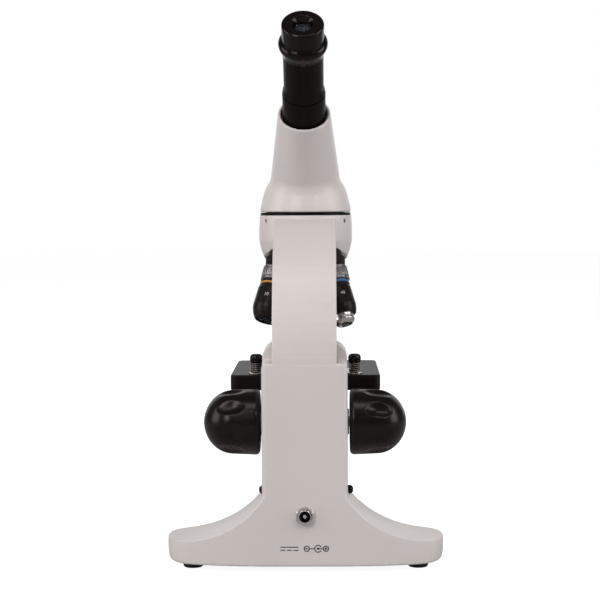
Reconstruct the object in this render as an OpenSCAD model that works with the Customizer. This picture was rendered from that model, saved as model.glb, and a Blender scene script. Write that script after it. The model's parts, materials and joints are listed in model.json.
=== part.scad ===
// Student microscope with an inclined head, a three-place turret and a rack-driven stage.
// Millimetres. +Z is up, +Y points from the rear wall of the stand to the front of the base.
// The origin is the middle of the bounding box, on the plane that the feet stand on.

/* [Base] */
// Width over the two rear wings
base_w = 162; // [150:1:170]
// Radius of the rear wall's ends, seen from above
rear_wall_r = 190; // [150:5:250]
// Distance from the rear wall to the front edge of the wings
wing_depth = 48; // [47:1:50]
// Height of the wing tips above the table
wing_tip_z = 18; // [16:0.2:20]
// Radius of the hollow sweep from wing to pillar
sweep_r = 60; // [58:0.5:62]
// Reach of the base in front of the optical axis
front_reach = 75; // [70:1:85]
// Half width of the front tongue at its top
tongue_half_w = 27; // [24:1:28]
// Height of the front tongue
tongue_z = 24; // [22:1:26]
// Height of the rubber feet
foot_h = 4; // [3:0.5:5]
// Wall thickness of the castings
wall = 3.5; // [3:0.1:4]

/* [Pillar and arm] */
// Half width of the pillar
pillar_half_w = 24.8; // [24:0.1:26]
// Depth of the pillar
pillar_d = 43; // [42:0.5:43.5]
// Height of the rear shoulder of the pillar
shoulder_z = 121.4; // [118:0.2:123]
// Height of the front part of the pillar, behind the arm
housing_z = 131.4; // [131:0.2:132]
// Width of the curved arm
arm_w = 37.2; // [34:0.2:38]
// Radius of the arm's outer curve
arm_r = 87; // [86:0.5:88]
// Distance from the rear wall to the optical axis
throat = 90; // [89:0.5:91]

/* [Stage and focus] */
// Height of the stage's top face at rest
stage_z = 110.2; // [109:0.2:111]
// Width of the stage
stage_w = 90; // [86:1:94]
// Depth of the stage
stage_d = 92; // [90:1:92]
// Height of the focus shaft
focus_z = 85.2; // [84:0.2:86]
// Distance from the rear wall to the focus shaft
focus_y = 22; // [21.5:0.5:22.5]
// Largest radius of a focus knob
knob_r = 19.3; // [17:0.1:20]
// Teeth on the focus pinion
pinion_teeth = 18; // [18:1:18]
// Module of the pinion and the rack
gear_module = 0.5; // [0.5:0.1:0.5]

/* [Optics] */
// Tilt of the turret's axis from the vertical
turret_tilt = 15; // [15:1:15]
// Height where the turret's axis meets the optical axis
apex_z = 236.1; // [236:0.1:236.4]
// Height where the inclined tube's axis meets the optical axis
bend_z = 224; // [223:0.5:225]
// Angle of the eyepiece tube from the vertical
tube_tilt = 45; // [45:1:45]
// Radius of the bore that takes the eyepiece
eyepiece_bore_r = 11.65; // [11.62:0.01:11.68]
// Radius of the eyepiece cap
cap_r = 12.2; // [12:0.1:12.6]
// Distance from the bend to the eyepiece's top, along the tube
cap_top = 127.6; // [126:0.2:130]

/* [Hidden] */
$fn = 64;
eps = 0.01;

// Clearances: plain gap between moving bodies, and the radial gap of a running fit
gap = 0.4;
fit = 0.06;
// Rounding of the eyepiece cap's top edge
cap_edge = 1.2;

// The eyepiece is the rearmost point, so it and the base's front set the origin
eye_reach = ((cap_top - cap_edge) + (cap_r - cap_edge)) * cos(tube_tilt) + cap_edge;
axis_y = (eye_reach - front_reach) / 2;
rear_y = axis_y - throat;

// Wings
base_half_w = base_w / 2;
tip_r = 18.5;
flat_half_w = 21;
tip_x = base_half_w - tip_r;
tip_y = rear_wall_r - sqrt(pow(rear_wall_r - tip_r, 2) - pow(tip_x - flat_half_w, 2));
sweep_x = 73.5;
sweep_z = wing_tip_z + sweep_r;
wing_crown_z = 45;
skirt_half_w = 36;
nose_y = throat + front_reach - skirt_half_w;
feet = [[-66, 20], [66, 20], [-20, 143], [20, 143]];
foot_r = 6;
cover_t = 2;
screw_r = 1.5;
boss_r = 3.6;
bore_top = 13.6;
cover_screw_places = [[-50, 22], [50, 22], [-20, 66], [20, 66], [0, 152]];
board_z = 9;
board_t = 1.6;
inlet_z = 33.6;
control_y = 30;
control_z = 43.7;
wheel_r = 8;
wheel_h = 4.4;
wheel_x = -19.6;
button_r = 2.6;
button_x = 28.3;

// Shoulder and housing at the pillar's top
shoulder_d = 19;
shoulder_r = 3.5;
housing_r = 8;

// Arm
arm_centre = [arm_r, 120.5];
arm_inner_r = 69.5;
arm_inner_centre = [85, 118];
arm_foot_d = 14;
arm_top_z = 203;
bulb_top_z = 205.6;
spigot_r = 22;
lock_angle = 58.5;
lock_z = 202;

// Focus drive
pinion_pitch_r = gear_module * pinion_teeth / 2;
pitch_line_y = focus_y + pinion_pitch_r;
shaft_r = 3;
bush_flange_x = 25.8;
knob_x = bush_flange_x + gap;
knob_length = 33;
knob_barrel = 15.5;
knob_taper = 0.6;
slide_low = 60;
slide_high = 104;
slide_back = 31.2;
slide_front = 38.4;
slide_half_w = 13;
stage_up = 17.2;
stage_down = 2;

// Stage
stage_web = 5;
stage_h = 9.3;
stage_corner = 4;
web_z = stage_z - stage_web;
disc_z = 97.7;
disc_t = 1.2;
disc_r = 25;
disc_offset = 17;
disc_holes = [3.5, 2.6, 1.8, 4.4, 5.4, 6.2];
clip_x = 29.6;
clip_y = 51;
clip_blade_t = 0.8;
clip_cap_z = 117.3;
clip_top_z = 122.4;
clip_turn = 108;

// Turret: distances run from the apex, along the turret's axis or an objective's axis
mount_face = 55.2;
disc_top = 58.5;
grip_low = 66;
disc_low = 70.3;
seat = 70.4;
collar_low = 70.8;
collar_high = 79.8;
turret_r = 24;
pivot_r = 4;
place = 120;

// Head
tube_end = 60;
mouth_r = 14;
drawtube_r = 12.8;
drawtube_end = 76;
barrel_start = 42;

// Points of an arc about c, from angle a0 to a1 in n steps
function arc(c, r, a0, a1, n) =
  [for (i = [0:n]) let (a = a0 + (a1 - a0) * i / n) [c[0] + r * cos(a), c[1] + r * sin(a)]];

// Outline of a rectangle from lo to hi with corners of radius r
function round_rect(lo, hi, r, n = 6) = concat(
  arc([lo[0] + r, lo[1] + r], r, 180, 270, n),
  arc([hi[0] - r, lo[1] + r], r, 270, 360, n),
  arc([hi[0] - r, hi[1] - r], r, 0, 90, n),
  arc([lo[0] + r, hi[1] - r], r, 90, 180, n)
);

// Frames that the pieces are drawn in
module at_rear() {
  translate([0, rear_y, 0]) children();
}

module on_axis() {
  translate([0, axis_y, 0]) children();
}

module on_tube() {
  on_axis() translate([0, 0, bend_z]) rotate([tube_tilt, 0, 0]) children();
}

module on_turret() {
  on_axis() translate([0, 0, apex_z]) rotate([180 - turret_tilt, 0, 0]) children();
}

module on_objective(turn) {
  on_turret() rotate([0, 0, turn]) rotate([turret_tilt, 0, 0]) children();
}

module along_x() {
  rotate([0, 90, 0]) children();
}

module both_sides() {
  children();
  mirror([1, 0, 0]) children();
}

// Turned shape about Z from [radius, height] points
module turned(points) {
  rotate_extrude() polygon(points);
}

// Ring about Z
module ring(outer, inner, z0, z1) {
  difference() {
    translate([0, 0, z0]) cylinder(r = outer, h = z1 - z0);
    translate([0, 0, z0 - 1]) cylinder(r = inner, h = z1 - z0 + 2);
  }
}

// Box from corner to corner
module block(lo, hi) {
  translate(lo) cube([hi[0] - lo[0], hi[1] - lo[1], hi[2] - lo[2]]);
}

// ---------------------------------------------------------------- base casting

// Plan of one half of the wings, shrunk by inset
module wing_half_plan(inset) {
  c = [flat_half_w, rear_wall_r];
  swing = asin((tip_x - flat_half_w) / (rear_wall_r - tip_r));
  polygon(concat(
    [[-1, wing_depth - inset], [-1, inset]],
    [for (p = arc(c, rear_wall_r - inset, 270, 270 + swing, 14)) p],
    arc([tip_x, tip_y], tip_r - inset, 270 + swing, 360, 8),
    arc([tip_x, wing_depth - tip_r], tip_r - inset, 0, 90, 8)
  ));
}

// Vertical section of the wings: level tips, hollow sweeps and a flat crown, shrunk by inset
module wing_section(inset, crown_z) {
  difference() {
    translate([-base_half_w - 1, -1]) square([base_w + 2, crown_z + 1]);
    for (side = [-1, 1]) {
      translate([side * sweep_x, sweep_z]) circle(r = sweep_r + inset, $fn = 160);
      translate([side * (sweep_x + 15) - 15, wing_tip_z - inset]) square([30, 90]);
    }
  }
}

// Slope from the sweeps' crown at the pillar down to the wings' front, shrunk by inset
module wing_front(inset) {
  run = wing_depth - pillar_d;
  fall = wing_crown_z - tongue_z;
  drop = inset * sqrt(run * run + fall * fall) / run;
  rotate([90, 0, 90]) linear_extrude(2 * base_w, center = true) polygon([
    [pillar_d - run, -1], [wing_depth + run, -1],
    [wing_depth + run, tongue_z - fall - drop], [pillar_d - run, wing_crown_z + fall - drop]
  ]);
}

module wings(inset, low_z) {
  intersection() {
    translate([0, 0, low_z]) linear_extrude(60) both_sides() wing_half_plan(inset);
    union() {
      translate([0, pillar_d - inset, 0]) rotate([90, 0, 0])
        linear_extrude(pillar_d + 5) wing_section(inset, wing_crown_z);
      intersection() {
        translate([0, wing_depth + 1, 0]) rotate([90, 0, 0])
          linear_extrude(wing_depth - pillar_d + 2 + inset) wing_section(inset, wing_crown_z);
        wing_front(inset);
      }
    }
  }
}

// Front tongue with drafted sides and a round nose, shrunk by inset
module tongue(inset, low_z) {
  top = tongue_z - inset;
  rise = tongue_z - foot_h;
  lean = (skirt_half_w - tongue_half_w) / rise;
  low_w = skirt_half_w - inset - (low_z - foot_h) * lean;
  top_w = tongue_half_w - inset + inset * lean;
  translate([0, nose_y, 0]) rotate([90, 0, 0]) linear_extrude(nose_y - 20)
    polygon([[-low_w, low_z], [low_w, low_z], [top_w, top], [-top_w, top]]);
  translate([0, nose_y, low_z]) cylinder(r1 = low_w, r2 = top_w, h = top - low_z);
}

// Pillar: plan with rounded rear corners, and a stepped top behind the arm
module pillar_plan(inset) {
  w = pillar_half_w - inset;
  r = 3;
  polygon(concat(
    arc([-w + r, inset + r], r, 180, 270, 5),
    arc([w - r, inset + r], r, 270, 360, 5),
    [[w, pillar_d - inset], [-w, pillar_d - inset]]
  ));
}

// Outline of half width w from z0 to z1, with its upper corners rounded by r
function arched(w, z0, z1, r) = concat(
  [[-w, z0], [w, z0]],
  arc([w - r, z1 - r], r, 0, 90, 8),
  arc([-w + r, z1 - r], r, 90, 180, 8)
);

module pillar_front(z0, z1, inset) {
  translate([0, pillar_d - inset, 0]) rotate([90, 0, 0]) linear_extrude(pillar_d - 2 * inset)
    polygon(arched(pillar_half_w - inset, z0, z1, housing_r));
}

// What is cut away behind the housing, down to the rounded shoulder
module shoulder_cut() {
  translate([0, shoulder_d, 0]) rotate([90, 0, 0]) linear_extrude(shoulder_d + 5) difference() {
    translate([-40, shoulder_z - 10]) square([80, 30]);
    polygon(arched(pillar_half_w + eps, 0, shoulder_z, shoulder_r));
  }
}

// Uprights over the cover, on the axis of each cover screw
module screw_bosses(r, low_z, high_z) {
  for (p = cover_screw_places) translate([p[0], p[1], low_z]) cylinder(r = r, h = high_z - low_z);
}

module base_casting() {
  arm_slot = arm_w / 2 + 0.1;
  color("white") at_rear() difference() {
    union() {
      wings(0, foot_h);
      tongue(0, foot_h);
      intersection() {
        translate([0, 0, foot_h]) linear_extrude(housing_z) pillar_plan(0);
        pillar_front(foot_h, housing_z, 0);
      }
    }
    // The shoulder step at the rear, and the seat that the arm passes through
    shoulder_cut();
    block([-arm_slot, wall, shoulder_z - 8], [arm_slot, shoulder_d, housing_z + 1]);
    // Hollow inside: wings, tongue and pillar, with a boss left for each cover screw
    difference() {
      union() {
        wings(wall, foot_h - 1);
        tongue(wall, foot_h - eps);
      }
      screw_bosses(boss_r, foot_h + cover_t + 0.1, shoulder_z);
    }
    screw_bosses(screw_r + fit, foot_h, bore_top);
    intersection() {
      linear_extrude(shoulder_z - wall) pillar_plan(wall + 0.5);
      pillar_front(-1, shoulder_z - wall, wall + 0.5);
    }
    block([-20.3, 22, shoulder_z - 6], [20.3, pillar_d - wall - 0.5, housing_z - 3]);
    // Slot for the stage bracket
    block([-9.5, pillar_d - 6, 60], [9.5, pillar_d + 2, 126]);
    // Bores for the focus shaft's bushes
    translate([-40, focus_y, focus_z]) along_x() cylinder(r = 5, h = 80);
    // Slot for the dimmer wheel, and bore for the switch button
    block([-40, control_y - 8, control_z - 2.7], [-15, control_y + 8, control_z + 2.7]);
    translate([15, control_y, control_z]) along_x() cylinder(r = button_r + fit, h = 25);
    // Bore for the power inlet
    translate([0, -5, inlet_z]) rotate([-90, 0, 0]) cylinder(r = 4, h = 20);
    // Bore for the lamp's lead
    translate([0, throat, tongue_z - 6]) cylinder(r = 6, h = 10);
  }
}

module base_cover() {
  slack = 0.15;
  color("dimgray") at_rear() difference() {
    intersection() {
      union() {
        wings(wall + slack, foot_h);
        tongue(wall + slack, foot_h);
      }
      block([-100, -10, foot_h], [100, 200, foot_h + cover_t]);
    }
    for (p = cover_screw_places) translate([p[0], p[1], 0]) cylinder(r = screw_r + 0.2, h = 20);
  }
  // Posts that carry the control board
  color("dimgray") at_rear() for (x = [-11, 11], y = [51, 81])
    translate([x, y, foot_h + cover_t - eps]) cylinder(r = 2, h = board_z - foot_h - cover_t + eps);
}

module cover_screws() {
  color("silver") at_rear() for (p = cover_screw_places) translate([p[0], p[1], 0]) difference() {
    union() {
      translate([0, 0, foot_h - 1.4]) cylinder(r = 3, h = 1.4);
      translate([0, 0, foot_h - eps]) cylinder(r = screw_r, h = 7);
    }
    for (a = [0, 90]) rotate([0, 0, a]) block([-1.8, -0.4, 0], [1.8, 0.4, foot_h - 0.6]);
  }
}

module rubber_feet() {
  color("black") at_rear() for (p = feet) translate([p[0], p[1], 0])
    turned([[0, 0], [foot_r - 1, 0], [foot_r, 1], [foot_r, foot_h], [0, foot_h]]);
}

// ---------------------------------------------------------------- power, lamp and controls

module dc_inlet_barrel() {
  color("silver") at_rear() translate([0, 0, inlet_z]) rotate([-90, 0, 0]) difference() {
    union() {
      translate([0, 0, -3.4]) cylinder(r = 3.95, h = 13);
      translate([0, 0, wall + 0.1]) cylinder(r = 5.2, h = 7);
    }
    translate([0, 0, -4]) cylinder(r = 3.2, h = 12);
  }
}

module dc_inlet_nut() {
  color("silver") at_rear() translate([0, -2.5, inlet_z]) rotate([-90, 0, 0]) difference() {
    cylinder(r = 5.9, h = 2.4, $fn = 6);
    translate([0, 0, -1]) cylinder(r = 4, h = 5);
  }
}

module dc_inlet_pin() {
  color("silver") at_rear() translate([0, 0, inlet_z]) rotate([-90, 0, 0])
    translate([0, 0, -2.4]) cylinder(r = 1.05, h = 10.4);
}

module control_board() {
  color("darkgreen") at_rear() {
    block([-15, 48, board_z], [15, 84, board_z + board_t]);
    block([-13, 54, board_z + board_t], [-3, 62, 13.6]);
    translate([8, 60, board_z + board_t - eps]) cylinder(r = 4, h = 7);
    translate([8, 72, board_z + board_t - eps]) cylinder(r = 3, h = 6);
    block([-13, 66, board_z + board_t], [0, 76, 12.4]);
  }
}

module lamp_collar() {
  color("black") on_axis() turned([
    [17.2, tongue_z], [24, tongue_z], [24, tongue_z + 3], [21.5, tongue_z + 5],
    [20.5, 47], [19.5, 48.4], [17.2, 48.4]
  ]);
}

module lamp_lens() {
  color("lightblue") on_axis() turned([[0, 43], [17, 43], [17, 47], [12, 48.6], [6, 49.4], [0, 49.6]]);
}

module lamp_led() {
  color("gold") on_axis() {
    translate([0, 0, 30]) cylinder(r = 15, h = 1.6);
    translate([0, 0, tongue_z]) cylinder(r = 3, h = 6 + eps);
    translate([0, 0, 31.6 - eps]) cylinder(r = 3.5, h = 1.4);
    translate([0, 0, 32]) sphere(r = 2.6, $fn = 32);
  }
}

module dimmer_body() {
  color("dimgray") at_rear() {
    block([-20, control_y - 5, 30], [-11, control_y + 5, 41.1]);
    translate([wheel_x, control_y, 41.1 - eps]) cylinder(r = 1.5, h = 5);
  }
}

module dimmer_wheel() {
  color("black") at_rear() translate([wheel_x, control_y, control_z - wheel_h / 2]) difference() {
    cylinder(r = wheel_r, h = wheel_h);
    translate([0, 0, -1]) cylinder(r = 1.5 + fit, h = wheel_h + 2);
    for (i = [0:23]) rotate([0, 0, i * 15 + 7.5])
      translate([wheel_r + 0.3, 0, -1]) cylinder(r = 0.7, h = wheel_h + 2, $fn = 6);
  }
}

module switch_body() {
  color("dimgray") at_rear() block([9, control_y - 5, control_z - 5], [18.6, control_y + 5, control_z + 5]);
}

module switch_button() {
  color("black") at_rear() translate([0, control_y, control_z]) along_x()
    turned([[0, 20.4], [button_r, 20.4], [button_r, button_x - 0.8], [button_r - 0.8, button_x], [0, button_x]]);
}

// ---------------------------------------------------------------- arm with the head mount

module arm_profile() {
  a0 = atan2(shoulder_z - arm_centre[1], -arm_r);
  a1 = 180 - asin((arm_top_z - arm_centre[1]) / arm_r);
  b0 = 180 - asin((shoulder_z - arm_inner_centre[1]) / arm_inner_r);
  b1 = 180 - asin((172 - arm_inner_centre[1]) / arm_inner_r);
  polygon(concat(
    arc(arm_centre, arm_r, a0, a1, 18),
    [[70, arm_top_z], [70, 190], [50.5, 187.8], [47, 184.2], [42.2, 175.5]],
    arc(arm_inner_centre, arm_inner_r, b1, b0, 14)
  ));
}

module bulb_shape() {
  turned([
    [0, 160], [18, 166], [22.5, 172], [25.1, 177], [26.4, 180.8], [27.7, 184.6], [29, 190],
    [29, 196], [28.8, 201], [28.5, bulb_top_z], [0, bulb_top_z]
  ]);
}

module arm_casting() {
  half = arm_w / 2;
  color("white") difference() {
    union() {
      at_rear() translate([-half, 0, 0]) rotate([90, 0, 90]) linear_extrude(arm_w) arm_profile();
      at_rear() block([-half, wall + 0.1, shoulder_z - 7.9], [half, wall + arm_foot_d, 126]);
      at_rear() block([-15, wall + 0.7, 101], [15, wall + arm_foot_d, 126]);
      difference() {
        on_axis() bulb_shape();
        on_turret() translate([0, 0, mount_face]) cylinder(r = 70, h = 60);
      }
    }
    // Seat for the head's spigot, the light path and the turret's recess
    on_axis() translate([0, 0, bulb_top_z - 8]) cylinder(r = spigot_r, h = 20);
    on_axis() translate([0, 0, 160]) cylinder(r = 9, h = 45);
    on_turret() translate([0, 0, mount_face]) cylinder(r = 25.6, h = 8);
    // Tapped holes for the head's lock screws
    on_axis() for (a = [-lock_angle, lock_angle]) translate([0, 0, lock_z]) rotate([90, 0, a])
      cylinder(r = 1.3, h = 35);
    // Bore for the turret's pivot
    on_turret() translate([0, 0, mount_face - 10]) cylinder(r = pivot_r - 0.05, h = 12);
  }
}

module head_ring() {
  color("black") on_axis() ring(27.6, spigot_r, bulb_top_z, bulb_top_z + 1.6);
}

module head_lock_screws() {
  color("dimgray") on_axis() for (a = [-lock_angle, lock_angle]) translate([0, 0, lock_z]) rotate([90, 0, a])
    difference() {
      translate([0, 0, spigot_r + gap]) cylinder(r = 1.28, h = 5);
      translate([0, 0, spigot_r + gap + 4]) cylinder(r = 0.6, h = 2, $fn = 6);
    }
}

module turret_mount() {
  color("black") difference() {
    on_turret() translate([0, 0, mount_face]) cylinder(r = 22.5, h = disc_top - gap - mount_face);
    on_axis() translate([0, 0, 160]) cylinder(r = 6.5, h = 45);
    on_turret() translate([0, 0, mount_face - 1]) cylinder(r = pivot_r + 0.02, h = 12);
  }
}

module turret_pivot() {
  color("silver") on_turret() difference() {
    union() {
      translate([0, 0, mount_face - 6]) cylinder(r = pivot_r - fit, h = 19);
      translate([0, 0, 67 + gap]) cylinder(r = 6.6, h = 2);
    }
    block([-5, -0.6, 68.4], [5, 0.6, 72]);
  }
}

// ---------------------------------------------------------------- focus drive

module guide_rails() {
  color("silver") at_rear() both_sides()
    block([slide_half_w + fit, slide_back - 1, 56], [slide_half_w + 4.5, pillar_d - wall - 0.6, 125]);
}

module shaft_bushes() {
  color("silver") at_rear() translate([0, focus_y, focus_z]) both_sides() along_x()
    turned([
      [shaft_r + fit, 19.5], [4.98, 19.5], [4.98, pillar_half_w + 0.02], [7.6, pillar_half_w + 0.02],
      [7.6, bush_flange_x], [shaft_r + fit, bush_flange_x]
    ]);
}

module focus_shaft() {
  color("silver") at_rear() translate([-50, focus_y, focus_z]) along_x() cylinder(r = shaft_r, h = 100);
}

// Flank point of an involute tooth: radius r, on a base circle rb
function flank_angle(r, rb) = let (a = acos(rb / r)) tan(a) * 180 / PI - a;

module pinion_outline() {
  rb = pinion_pitch_r * cos(20);
  ro = pinion_pitch_r + 0.9 * gear_module;
  rr = pinion_pitch_r - 1.15 * gear_module;
  half = 90 / pinion_teeth - 0.9 + flank_angle(pinion_pitch_r, rb);
  radii = [rb, (rb + pinion_pitch_r) / 2, pinion_pitch_r, (pinion_pitch_r + ro) / 2, ro];
  polygon([for (i = [0:pinion_teeth - 1]) let (mid = i * 360 / pinion_teeth) each concat(
    [[rr * cos(mid - half), rr * sin(mid - half)]],
    [for (r = radii) let (a = mid - half + flank_angle(r, rb)) [r * cos(a), r * sin(a)]],
    [for (k = [4:-1:0]) let (r = radii[k], a = mid + half - flank_angle(r, rb)) [r * cos(a), r * sin(a)]],
    [[rr * cos(mid + half), rr * sin(mid + half)]]
  )]);
}

module focus_pinion() {
  // A tooth gap faces the rack at rest
  color("gold") at_rear() translate([-4, focus_y, focus_z]) rotate([90, 0, 90])
    linear_extrude(8) difference() {
      rotate(180 / pinion_teeth) pinion_outline();
      circle(r = shaft_r + 0.02);
    }
}

// Half profile of a knob from [distance, radius]: rim, barrel and domed end
function knob_profile() = concat(
  [[shaft_r + 0.02, knob_x], [knob_r - 2.5, knob_x]],
  arc([knob_r - 2.5, knob_x + 2.5], 2.5, -90, 0, 4),
  [for (i = [0:12]) let (a = i * 7.1)
    [(knob_r - knob_taper) * cos(a), knob_x + knob_barrel + (knob_length - knob_barrel) * sin(a)]],
  [[0.001, knob_x + knob_length], [0.001, 50], [shaft_r + 0.02, 50]]
);

module knob() {
  dish = 10;
  color("black") at_rear() translate([0, focus_y, focus_z]) along_x() difference() {
    turned(knob_profile());
    for (i = [0:7]) rotate([0, 0, i * 45 + 13])
      translate([knob_r - knob_taper + dish - 1.9, 0, knob_x + 16.5]) sphere(r = dish, $fn = 32);
    rotate([0, 0, 90]) translate([0, 0, knob_x + 4.5]) along_x() cylinder(r = 1.5, h = 30);
  }
}

module focus_knob_right() {
  knob();
}

module focus_knob_left() {
  mirror([1, 0, 0]) knob();
}

module knob_set_screws() {
  color("dimgray") at_rear() translate([0, focus_y, focus_z]) both_sides() along_x()
    rotate([0, 0, 90]) translate([0, 0, knob_x + 4.5]) along_x() difference() {
      translate([0, 0, shaft_r + 0.05]) cylinder(r = 1.47, h = 8);
      translate([0, 0, 9]) cylinder(r = 0.7, h = 4, $fn = 6);
    }
}

module stage_slide() {
  color("gray") at_rear() block([-slide_half_w, slide_back, slide_low], [slide_half_w, slide_front, slide_high]);
}

module rack_outline() {
  pitch = PI * gear_module;
  low = slide_low + 0.5;
  count = 20;
  tip = 0.9 * gear_module;
  root = 1.15 * gear_module;
  wide = pitch / 4 - 0.07;
  first = focus_z - 14 * pitch;
  polygon(concat(
    [[slide_back, low], [pitch_line_y + root, low]],
    [for (i = [0:count - 1]) let (z = first + i * pitch) each [
      [pitch_line_y + root, z - wide - root * tan(20)], [pitch_line_y - tip, z - wide + tip * tan(20)],
      [pitch_line_y - tip, z + wide - tip * tan(20)], [pitch_line_y + root, z + wide + root * tan(20)]
    ]],
    [[pitch_line_y + root, slide_low + 34], [slide_back, slide_low + 34]]
  ));
}

module focus_rack() {
  color("gold") at_rear() translate([-3.5, 0, 0]) rotate([90, 0, 90]) linear_extrude(7) rack_outline();
}

module stage_bracket() {
  color("black") at_rear() difference() {
    union() {
      block([-8, slide_front, 66], [8, pillar_d + 1.5 + eps, 98]);
      block([-17, pillar_d + 1.5, 66], [17, pillar_d + 7, web_z]);
      block([-17, pillar_d + 6, 99.2], [17, pillar_d + 20, web_z]);
    }
    for (x = [-11, 11]) translate([x, pillar_d + 14, 90]) cylinder(r = 2.1, h = 30);
  }
}

module bracket_screws() {
  color("silver") at_rear() for (x = [-11, 11]) translate([x, pillar_d + 14, 0]) {
    translate([0, 0, 96.9]) cylinder(r = 3.5, h = 2.3);
    translate([0, 0, 99]) cylinder(r = 2, h = 9);
  }
}

module stage_plate() {
  half = stage_w / 2;
  lo = [-half, throat - stage_d / 2];
  hi = [half, throat + stage_d / 2];
  in = 3.5;
  color("dimgray") at_rear() difference() {
    union() {
      difference() {
        translate([0, 0, stage_z - stage_h]) linear_extrude(stage_h) polygon(round_rect(lo, hi, stage_corner));
        translate([0, 0, stage_z - stage_h - 1]) linear_extrude(stage_h - stage_web + 1)
          polygon(round_rect(lo + [in, in], hi - [in, in], 1.5));
        block([-18, lo[1] - 1, stage_z - stage_h - 1], [18, lo[1] + 5, web_z]);
      }
      translate([0, throat, disc_z + disc_t + gap]) cylinder(r = 13.5, h = web_z - disc_z - disc_t);
      translate([0, throat + disc_offset, disc_z + disc_t + gap]) cylinder(r = 5, h = web_z - disc_z - disc_t);
    }
    translate([0, throat, 90]) cylinder(r = 10, h = 40);
    translate([0, throat + disc_offset, 90]) cylinder(r = 1.55, h = 17);
    for (x = [-11, 11]) translate([x, pillar_d + 14, 90]) cylinder(r = 2.02, h = 18.2);
    for (x = [-clip_x, clip_x]) translate([x, clip_y, 90]) cylinder(r = 2 + fit, h = 30);
  }
}

module condenser_lens() {
  color("lightblue") on_axis() turned([
    [0, 101.5], [9.96, 101.5], [9.96, 106], [7, 107.6], [3.5, 108.4], [0, 108.6]
  ]);
}

module disc_pivot() {
  color("silver") at_rear() translate([0, throat + disc_offset, 0]) {
    translate([0, 0, disc_z - gap - 1.5]) cylinder(r = 3.2, h = 1.5);
    translate([0, 0, disc_z - gap - eps]) cylinder(r = 1.5, h = 9);
  }
}

module diaphragm_disc() {
  color("black") at_rear() translate([0, throat + disc_offset, disc_z]) difference() {
    cylinder(r = disc_r, h = disc_t);
    translate([0, 0, -1]) cylinder(r = 1.5 + fit, h = disc_t + 2);
    for (i = [0:5]) rotate([0, 0, i * 60]) translate([0, -disc_offset, -1])
      cylinder(r = disc_holes[i], h = disc_t + 2);
    for (i = [0:35]) rotate([0, 0, i * 10 + 5]) translate([disc_r + 0.3, 0, -1])
      cylinder(r = 0.8, h = disc_t + 2, $fn = 6);
  }
}

// ---------------------------------------------------------------- specimen clips

module clip_post() {
  color("black") at_rear() translate([clip_x, clip_y, 0]) turned([
    [0, 101], [3.2, 101], [3.2, 102.6], [2, 102.6], [2, clip_cap_z], [3.5, clip_cap_z],
    [3.9, clip_cap_z + 0.6], [3.9, clip_top_z - 1.7], [3.3, clip_top_z - 0.5], [2.2, clip_top_z], [0, clip_top_z]
  ]);
}

// Round wire wound about Z, as rings of a closed tube
module coil(radius, wire, low, high, turns) {
  sides = 6;
  steps = 14 * turns;
  points = [for (i = [0:steps]) let (a = i * 360 / 14, z = low + (high - low) * i / steps)
    for (j = [0:sides - 1]) let (b = j * 360 / sides, r = radius + wire * cos(b))
      [r * cos(a), r * sin(a), z + wire * sin(b)]];
  sleeve = [for (i = [0:steps - 1]) for (j = [0:sides - 1]) let (k = (j + 1) % sides)
    [i * sides + j, (i + 1) * sides + j, (i + 1) * sides + k, i * sides + k]];
  first = [for (j = [0:sides - 1]) j];
  last = [for (j = [sides - 1:-1:0]) steps * sides + j];
  polyhedron(points, concat(sleeve, [first, last]), convexity = 8);
}

module clip_spring() {
  color("silver") at_rear() translate([clip_x, clip_y, 0])
    coil(3.2, 0.45, stage_z + clip_blade_t + 0.65, clip_cap_z - 0.55, 5);
}

// Blade: an eye round the post and a strip over the stage that widens at its tip
module clip_blade() {
  reach = 42;
  color("silver") at_rear() translate([clip_x, clip_y, stage_z + 0.15]) difference() {
    union() {
      cylinder(r = 4.6, h = clip_blade_t);
      rotate([0, 0, clip_turn]) linear_extrude(clip_blade_t)
        polygon([[1, -3.6], [reach - 9, -2.6], [reach - 4, -3.4], [reach, -3.4],
          [reach, 3.4], [reach - 4, 3.4], [reach - 9, 2.6], [1, 3.6]]);
    }
    translate([0, 0, -1]) cylinder(r = 2 + fit, h = clip_blade_t + 2);
  }
}

module clip_post_right() {
  clip_post();
}

module clip_post_left() {
  mirror([1, 0, 0]) clip_post();
}

module clip_spring_right() {
  clip_spring();
}

module clip_spring_left() {
  mirror([1, 0, 0]) clip_spring();
}

module clip_blade_right() {
  clip_blade();
}

module clip_blade_left() {
  mirror([1, 0, 0]) clip_blade();
}

// ---------------------------------------------------------------- turret and objectives

module objective_bores(r) {
  for (turn = [-place, 0, place]) rotate([0, 0, turn]) rotate([turret_tilt, 0, 0])
    translate([0, 0, 50]) cylinder(r = r, h = 35);
}

module turret_disc() {
  edge_drop = (turret_r - 9) * tan(turret_tilt);
  color("black") on_turret() difference() {
    turned([
      [pivot_r, disc_top], [turret_r - 1, disc_top], [turret_r - 1, disc_low - edge_drop],
      [9, disc_low], [9, 67], [pivot_r, 67]
    ]);
    objective_bores(7);
  }
}

module turret_grip() {
  color("black") on_turret() difference() {
    ring(turret_r + 0.4, turret_r - 0.98, disc_top, grip_low);
    for (i = [0:59]) rotate([0, 0, i * 6]) translate([turret_r + 0.9, 0, disc_top + 1])
      cylinder(r = 0.8, h = 10, $fn = 6);
  }
}

// Turned objective from [radius, distance] points, with a bore of radius r
module objective(turn, points, r) {
  on_objective(turn) difference() {
    turned(points);
    translate([0, 0, 60]) cylinder(r = r, h = 60);
  }
}

module objective_low() {
  color("dimgray") objective(0, [
    [0, seat], [8.6, seat], [8.6, 79.9], [9.2, 79.9], [9.2, 83.4], [10, 84.4], [10, 88.4],
    [8.6, 89.9], [7.8, 92], [0, 92]
  ], 6);
}

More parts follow.
